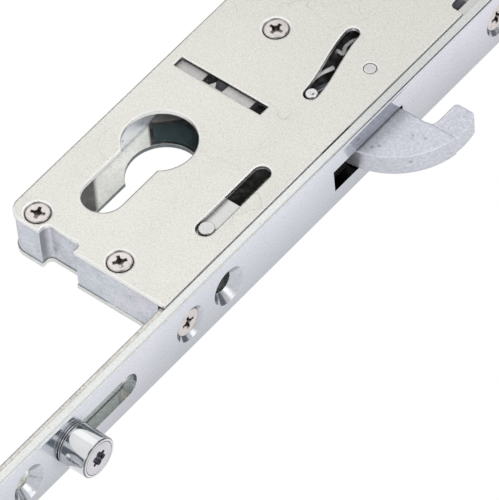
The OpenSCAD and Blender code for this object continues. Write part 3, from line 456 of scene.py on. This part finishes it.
rivet = metal("rivet_steel", (0.62, 0.60, 0.61), 0.28, grain_amount=0.08, mottle=300, edge=0.3 * MM,
              wear_and_glint=0.7, crevice_shade=0.8)
pin = metal("pin_steel", (0.68, 0.67, 0.68), 0.20, grain=3200, mottle=300, edge=0.2 * MM, wear_and_glint=0.5)
screw = metal("screw_steel", (0.64, 0.60, 0.585), 0.20, grain=3000, grain_amount=0.10, mottle=700,
              mottle_amount=0.12, edge=0.4 * MM, wear_and_glint=0, crevice_shade=1.0, crevice_shade_reach=0.7 * MM)
roller = metal("roller_bright", (0.72, 0.73, 0.74), 0.10, grain=3000, grain_amount=0.02,
               hair=(3500, 90, 90), hair_amount=0.14, mottle=250, mottle_amount=0.05, bump=0.05,
               # The rims are painted dark, as painted shade.
               edge=0.3 * MM, wear_and_glint=0, rough_spread=0.03, crevice_shade=0, outline=0.8)
stud = metal("stud_bright", (0.62, 0.61, 0.65), 0.16, grain=3000, mottle=400, mottle_amount=0.07,
             edge=0.2 * MM, wear_and_glint=0.5, crevice_shade=0.8, crevice_shade_reach=0.6 * MM)
washer = metal("washer_steel", (0.56, 0.55, 0.50), 0.35, mottle=300, crevice_shade=0, metallic=0.2)
spacer = metal("spacer_steel", (0.42, 0.41, 0.39), 0.34, mottle=300)
spring = metal("spring_steel", (0.55, 0.56, 0.58), 0.25, mottle=300)
# Near black, a painted shade for the notch the leaf sits in.
leaf_shade_steel = metal("leaf_shade_steel", (0.07, 0.07, 0.07), 0.35, mottle=300, metallic=0.5)
# Near white and not metallic, a painted highlight for the bright wires in the bent slot.
wire_glint_white = metal("wire_glint_white", (0.98, 0.98, 0.99), 0.3, grain=3000, mottle=500, mottle_amount=0.2,
                   edge=0.1 * MM, wear_and_glint=0, metallic=0.0, crevice_shade=0)
# The chamber plates' dark tones are painted shade.
guard_shade_steel = metal("guard_shade_steel", (0.10, 0.145, 0.155), 0.24, mottle=190, mottle_amount=0.25, metallic=0.6,
                    crevice_shade=0.9)
ledge_shade_steel = metal("ledge_shade_steel", (0.30, 0.29, 0.28), 0.36, mottle=260, mottle_amount=0.2, metallic=0.6,
                    crevice_shade=0.9)
bush = plastic("bush_plastic", (0.035, 0.035, 0.04), 0.45)

LOOKS = {
    "faceplate": strip, "rod_guides": slide, "lower_drive_rod": rod, "upper_drive_rod": rod,
    "case_body": casting, "front_cover": cover, "rear_cover": rear, "cover_screws": screw,
    "faceplate_screws": screw, "front_bush": bush, "rear_bush": bush, "front_slide_plate": slide,
    "rear_slide_plate": slide, "slide_guide_pin": guide, "follower_pin": pin, "hook_bolt": hook,
    "hook_pivot_pin": rivet, "hook_spacers": spacer, "hook_drive_pin": pin, "follower": casting,
    "latch_lever": slide, "latch_bolt": strip, "latch_spring": spring, "locking_slide": lock,
    "slide_rivets": spacer, "detent_spring": spring, "lower_roller_stud": stud,
    "lower_roller_sleeve": roller, "lower_roller_washer": washer, "upper_roller_stud": stud,
    "upper_roller_sleeve": roller, "upper_roller_washer": washer,
}
for node, look in LOOKS.items():
    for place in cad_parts[node].material_slots:
        place.material = look


# Pieces of the scene's own
def mm(*values):
    return Vector(values) * MM


def piece(name, verts, faces, look, body, smooth=False):
    """A mesh that rides on a body."""
    mesh = bpy.data.meshes.new(name)
    mesh.from_pydata([tuple(v) for v in verts], [], faces)
    mesh.polygons.foreach_set("use_smooth", [smooth] * len(mesh.polygons))
    mesh.materials.append(look)
    obj = bpy.data.objects.new(name, mesh)
    scene.collection.objects.link(obj)
    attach(obj, body)
    return obj


def spline(points, steps=10):
    """Catmull-Rom curve through the points."""
    ends = [points[0] * 2 - points[1]] + list(points) + [points[-1] * 2 - points[-2]]
    out = []
    for a, b, c, d in zip(ends, ends[1:], ends[2:], ends[3:]):
        for i in range(steps):
            t = i / steps
            out.append((b * 2 + (c - a) * t + (a * 2 - b * 5 + c * 4 - d) * t * t
                        + (b * 3 - a - c * 3 + d) * t * t * t) / 2)
    return out + [points[-1]]


def tube(name, path, radii, look, body, flat=1.0, sides=12):
    """Round or flattened wire along a path; radii run evenly from its start to its end."""
    verts, faces = [], []
    across = (path[1] - path[0]).orthogonal().normalized()
    last = len(path) - 1
    for i, at in enumerate(path):
        along = (path[min(i + 1, last)] - path[max(i - 1, 0)]).normalized()
        across = (across - along * across.dot(along)).normalized()
        other = along.cross(across)
        station = i / last * (len(radii) - 1)
        low = min(int(station), len(radii) - 2)
        radius = radii[low] + (radii[low + 1] - radii[low]) * (station - low)
        for k in range(sides):
            turn = 2 * math.pi * k / sides
            off = (across * math.cos(turn) + other * math.sin(turn)) * radius
            verts.append(at + Vector((off.x, off.y * flat, off.z)))
    for i in range(last):
        for k in range(sides):
            a = i * sides + k
            b = i * sides + (k + 1) % sides
            faces.append((a, b, b + sides, a + sides))
    faces += [tuple(reversed(range(sides))), tuple(range(last * sides, (last + 1) * sides))]
    return piece(name, verts, faces, look, body, smooth=True)


def turned_ring(name, profile, y, z, look, body, steps=72):
    """Closed ring around an axis along X; the profile is a loop of x and radius."""
    verts = []
    for i in range(steps):
        turn = 2 * math.pi * i / steps
        verts += [Vector((x, y + r * math.cos(turn), z + r * math.sin(turn))) for x, r in profile]
    n = len(profile)
    faces = []
    for i in range(steps):
        here = i * n
        beside = (i + 1) % steps * n
        for k in range(n):
            following = (k + 1) % n
            faces.append((here + k, here + following, beside + following, beside + k))
    return piece(name, verts, faces, look, body)


def flat_plate(name, outline, y0, y1, look, body):
    """Plate between two planes of Y; the outline is x and z, turning left."""
    n = len(outline)
    verts = [(x, y, z) for y in (y0, y1) for x, z in outline]
    faces = [tuple(range(n)), tuple(reversed(range(n, 2 * n)))]
    faces += [(k, k + n, (k + 1) % n + n, (k + 1) % n) for k in range(n)]
    return piece(name, verts, faces, look, body)


def washer_ring(side):
    """The bright ring that closes the gap between a roller and the faceplate."""
    low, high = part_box(side + "_roller_washer")
    back = low.x - 0.1 * MM
    front = high.x + 0.07 * MM
    bore = 3.2 * MM
    outer = 4.9 * MM
    rim = 0.12 * MM
    profile = [(back, bore), (back, outer - rim), (back + rim, outer), (front - rim, outer),
               (front, outer - rim), (front, bore)]
    middle = (low + high) / 2
    ring = turned_ring(side + "_washer_ring", profile, middle.y, middle.z, roller, side + "_stud")
    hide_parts(side + "_roller_washer")


def latch_coil():
    """The latch spring, wound with closed ends."""
    low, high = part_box("latch_spring")
    middle = (low + high) / 2
    wire_r = 0.45 * MM
    coil_r = (high.z - low.z) / 2 - wire_r
    turns = 9
    per_turn = 28
    steps = turns * per_turn
    ends_share = 0.05
    path = []
    for i in range(steps + 1):
        share = i / steps
        between_ends = min(1.0, max(0.0, (share - 1 / turns) / (1 - 2 / turns)))
        reach = ends_share * share + (1 - ends_share) * between_ends
        x = low.x + wire_r + (high.x - low.x - 2 * wire_r) * reach
        turn = 2 * math.pi * i / per_turn
        path.append(Vector((x, middle.y + coil_r * math.cos(turn), middle.z + coil_r * math.sin(turn))))
    coil = tube("latch_coil", path, [wire_r, wire_r], spring, "case", sides=10)
    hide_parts("latch_spring")
    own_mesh(coil)


def detent_leaf():
    """The locking slide's leaf spring, with its tip bent down into a notch."""
    low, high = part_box("detent_spring")
    leaf_t = 0.45 * MM
    tip_x = -3.35 * MM
    tip_spread = 0.62 * MM
    steps = 60
    upper, under = [], []
    for i in range(steps + 1):
        x = low.x + (high.x - low.x) * i / steps
        drop = (high.z - low.z - leaf_t) * math.exp(-((x - tip_x) / tip_spread) ** 2)
        upper.append((x, high.z - drop))
        under.append((x, high.z - leaf_t - drop))
    leaf = flat_plate("detent_leaf", under + upper[::-1], low.y, high.y, leaf_shade_steel, "case")
    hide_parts("detent_spring")
    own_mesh(leaf)


def chamber_plates():
    """Dark steel plates in the cylinder chamber, on the inside of the rear cover; their dark tones are
    painted shade.
    """
    inside_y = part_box("rear_cover")[0].y
    seated_y = inside_y + 0.02 * MM
    ring_r = 9.35 * MM
    arc = [(ring_r * math.cos(math.radians(a)), ring_r * math.sin(math.radians(a)))
           for a in range(58, 145, 6)]
    start = [(-10.7, 9.1)]
    top = [(6.5, 11.8), (-1.6, 13.3), (-6.2, 13.7)]
    guard = [mm(*p) for p in start] + arc[::-1] + [mm(*p) for p in top]
    flat_plate("cam_guard", guard, inside_y - 0.35 * MM, seated_y, guard_shade_steel, "case")
    ledge = [(-13.6, 10.9), (-12.4, 9.2), (-10.6, 10.1), (-6.4, 14.5), (-1.5, 14.1), (5.5, 13.0),
             (5.5, 19.5), (-13.6, 19.5)]
    flat_plate("cam_ledge", [mm(*p) for p in ledge], inside_y - 0.7 * MM, seated_y, ledge_shade_steel, "case")


def slot_wires():
    """The bent spring wires that show behind the bent slot, near white as a painted highlight."""
    lower = [(9.6, 5.2, 38.2), (10.2, 4.3, 39.4), (10.81, 3.36, 40.7), (10.91, 3.36, 41.91),
             (11.24, 3.36, 43.28), (11.75, 3.36, 44.5), (12.05, 3.36, 45.2)]
    upper = [(10.3, 5.2, 56.4), (10.5, 4.2, 55.4), (10.62, 3.36, 54.2), (10.3, 3.36, 52.9),
             (10.35, 3.36, 51.4), (10.9, 3.36, 50.3), (11.0, 3.36, 49.65), (10.2, 3.36, 49.5),
             (9.5, 3.5, 49.7), (8.9, 4.4, 49.9), (8.7, 5.2, 50.0)]
    for name, points, radii in (("leaf_wire_lower", lower, (0.25, 0.25, 0.4, 0.6, 0.6)),
                                ("leaf_wire_upper", upper, (0.4, 0.4, 0.5, 0.6, 0.4, 0.25))):
        tube(name, spline([mm(*p) for p in points]), [r * MM for r in radii], wire_glint_white, "case", flat=0.75)


washer_ring("lower")
washer_ring("upper")
latch_coil()
detent_leaf()
chamber_plates()
slot_wires()


# Room
LOCK_MIDDLE = (0.015, 0, 0.02)
FLOOR_Z = cad_box[0].z - 0.5 * MM
# The floor's horizontal direction towards the camera, and the one along its near edge
toward = Vector((CAM_AT[0], CAM_AT[1], 0)).normalized()
aside = Vector((-toward.y, toward.x, 0))


def stage_face(name, corners, material):
    mesh = bpy.data.meshes.new(name)
    mesh.from_pydata([tuple(c) for c in corners], [], [tuple(range(len(corners)))])
    mesh.materials.append(material)
    obj = bpy.data.objects.new(name, mesh)
    scene.collection.objects.link(obj)
    return obj


def plain(name, color):
    mat = bpy.data.materials.new(name)
    mat.use_nodes = True
    inputs = mat.node_tree.nodes["Principled BSDF"].inputs
    inputs["Base Color"].default_value = rgba(color)
    inputs["Roughness"].default_value = 0.9
    return mat


def floor():
    """A pale floor that keeps the lock's shadow and fades to white with distance. It ends in front of
    the lock, because the camera looks up from below it."""
    near_edge = 0.12
    far_edge = -8
    half_width = 5
    least_glow = 0.5
    mirrored_glow = 0.95
    round_lock = (0.05, 0.75)
    before_edge = (0.03, 0.115)
    mat = plain("floor_pale", (0.86, 0.86, 0.86))
    n = Nodes(mat.node_tree)
    ray = n.add("ShaderNodeLightPath").outputs
    where = n.add("ShaderNodeTexCoord").outputs["Object"]
    spot = n.add("ShaderNodeSeparateXYZ", {0: where}).outputs
    from_lock = n.add("ShaderNodeVectorMath", {0: where, 1: (0, 0, FLOOR_Z)}, operation="DISTANCE")
    nearer = n.math("ADD", n.times(spot["X"], toward.x), n.times(spot["Y"], toward.y))
    faded = n.math("MAXIMUM", n.remap(from_lock.outputs["Value"], *round_lock, least_glow, 1),
                   n.remap(nearer, *before_edge, least_glow, 1))
    mirrored = n.math("MAXIMUM", ray["Is Glossy Ray"], ray["Is Transmission Ray"])
    share = n.math("MAXIMUM", n.times(ray["Is Camera Ray"], faded), n.times(mirrored, mirrored_glow))
    glow = n.add("ShaderNodeEmission", {"Color": WHITE, "Strength": 1.0})
    lit = mat.node_tree.nodes["Principled BSDF"].outputs[0]
    both = n.add("ShaderNodeMixShader", {0: share, 1: lit, 2: glow.outputs[0]})
    n.feed(mat.node_tree.nodes["Material Output"].inputs["Surface"], both.outputs[0])
    corners = [toward * a + aside * b + Vector((0, 0, FLOOR_Z))
               for a, b in ((near_edge, -half_width), (near_edge, half_width),
                            (far_edge, half_width), (far_edge, -half_width))]
    stage_face("floor", corners, mat)


def only_reflected(obj):
    obj.visible_camera = False
    obj.visible_diffuse = False
    obj.visible_shadow = False


def card(name, direction, distance, size, color, aim=LOCK_MIDDLE):
    """A plain grey card of the studio that faces the point aim, seen only in reflections."""
    d = Vector(direction).normalized()
    side = d.cross(Vector((0, 0, 1))).normalized()
    up = side.cross(d).normalized()
    centre = d * distance + Vector(aim)
    corners = [centre + side * sx * size[0] / 2 + up * sy * size[1] / 2
               for sx, sy in ((-1, -1), (1, -1), (1, 1), (-1, 1))]
    only_reflected(stage_face(name, corners, plain(name + "_grey", color)))


def floor_shade():
    """A dark patch on the floor that the roller's lower side mirrors."""
    x0 = 50 * MM
    x1 = 113 * MM
    y0 = -36 * MM
    y1 = 26 * MM
    z = FLOOR_Z + 0.4 * MM
    corners = [(x0, y0, z), (x1, y0, z), (x1, y1, z), (x0, y1, z)]
    only_reflected(stage_face("floor_shade", corners, plain("floor_shade_grey", (0.42, 0.46, 0.49))))


def sky():
    """White to the eye and in reflections, a dimmer cool white as light."""
    world = bpy.data.worlds.new("studio")
    world.use_nodes = True
    scene.world = world
    n = Nodes(world.node_tree)
    light = world.node_tree.nodes["Background"]
    light.inputs["Color"].default_value = (0.95, 0.97, 1.0, 1.0)
    light.inputs["Strength"].default_value = 0.45
    white = n.add("ShaderNodeBackground", {"Color": WHITE, "Strength": 1.0})
    ray = n.add("ShaderNodeLightPath").outputs
    seen = n.math("MAXIMUM", ray["Is Camera Ray"], ray["Is Glossy Ray"])
    seen = n.math("MAXIMUM", seen, ray["Is Transmission Ray"])
    both = n.add("ShaderNodeMixShader", {0: seen, 1: light.outputs[0], 2: white.outputs[0]})
    n.feed(world.node_tree.nodes["World Output"].inputs["Surface"], both.outputs[0])


def softbox(name, direction, distance, size, level, aim=LOCK_MIDDLE):
    """Area lamp that faces the point aim; level is its brightness, 1 being white."""
    data = bpy.data.lights.new(name, "AREA")
    data.shape = "RECTANGLE"
    data.size = size[0]
    data.size_y = size[1]
    data.energy = level * math.pi * size[0] * size[1]
    obj = bpy.data.objects.new(name, data)
    d = Vector(direction).normalized()
    obj.location = d * distance + Vector(aim)
    obj.rotation_euler = d.to_track_quat("Z", "Y").to_euler()
    obj.visible_camera = False
    scene.collection.objects.link(obj)
    return obj


def fill(name, direction, level):
    """Small far lamp that adds no highlight."""
    softbox(name, direction, distance=1.6, size=(0.3, 0.3), level=level).visible_glossy = False


# Directions from the lock: to the camera, and to what the cover and the strip's rounded edge mirror to it
TO_CAMERA = (0.461, -0.757, -0.461)
COVER_MIRRORS = (-0.461, -0.757, 0.461)
EDGE_MIRRORS = (0.461, -0.757, 0.461)

floor()
card("studio_wall", TO_CAMERA, distance=2.6, size=(2.0, 2.0), color=(0.25, 0.25, 0.27))
card("edge_flag", EDGE_MIRRORS, distance=0.4, size=(0.1, 0.13), color=(0.55, 0.57, 0.58),
     aim=(0.0325, -0.008, 0.08))
card("roller_flag", (0.461, -0.42, 0.72), distance=0.4, size=(0.14, 0.14), color=(0.08, 0.10, 0.12),
     aim=(0.036, -0.004, -0.064))
floor_shade()
card("rear_flag", (-0.88, -0.22, 0.42), distance=1.5, size=(0.9, 1.2), color=(0.02, 0.02, 0.02))
card("top_flag", (0.50, -0.02, 0.86), distance=1.4, size=(0.7, 0.8), color=(0.30, 0.33, 0.35))
sky()
softbox("near_softbox", COVER_MIRRORS, distance=0.35, size=(0.2, 0.2), level=0.26,
        aim=(0.035, -0.006, -0.08))
softbox("side_strip", (0.85, -0.51, 0.12), distance=1.5, size=(0.2, 0.8), level=1.2)
fill("front_fill", (0.66, -0.70, -0.27), level=34)
fill("axis_fill", TO_CAMERA, level=39)
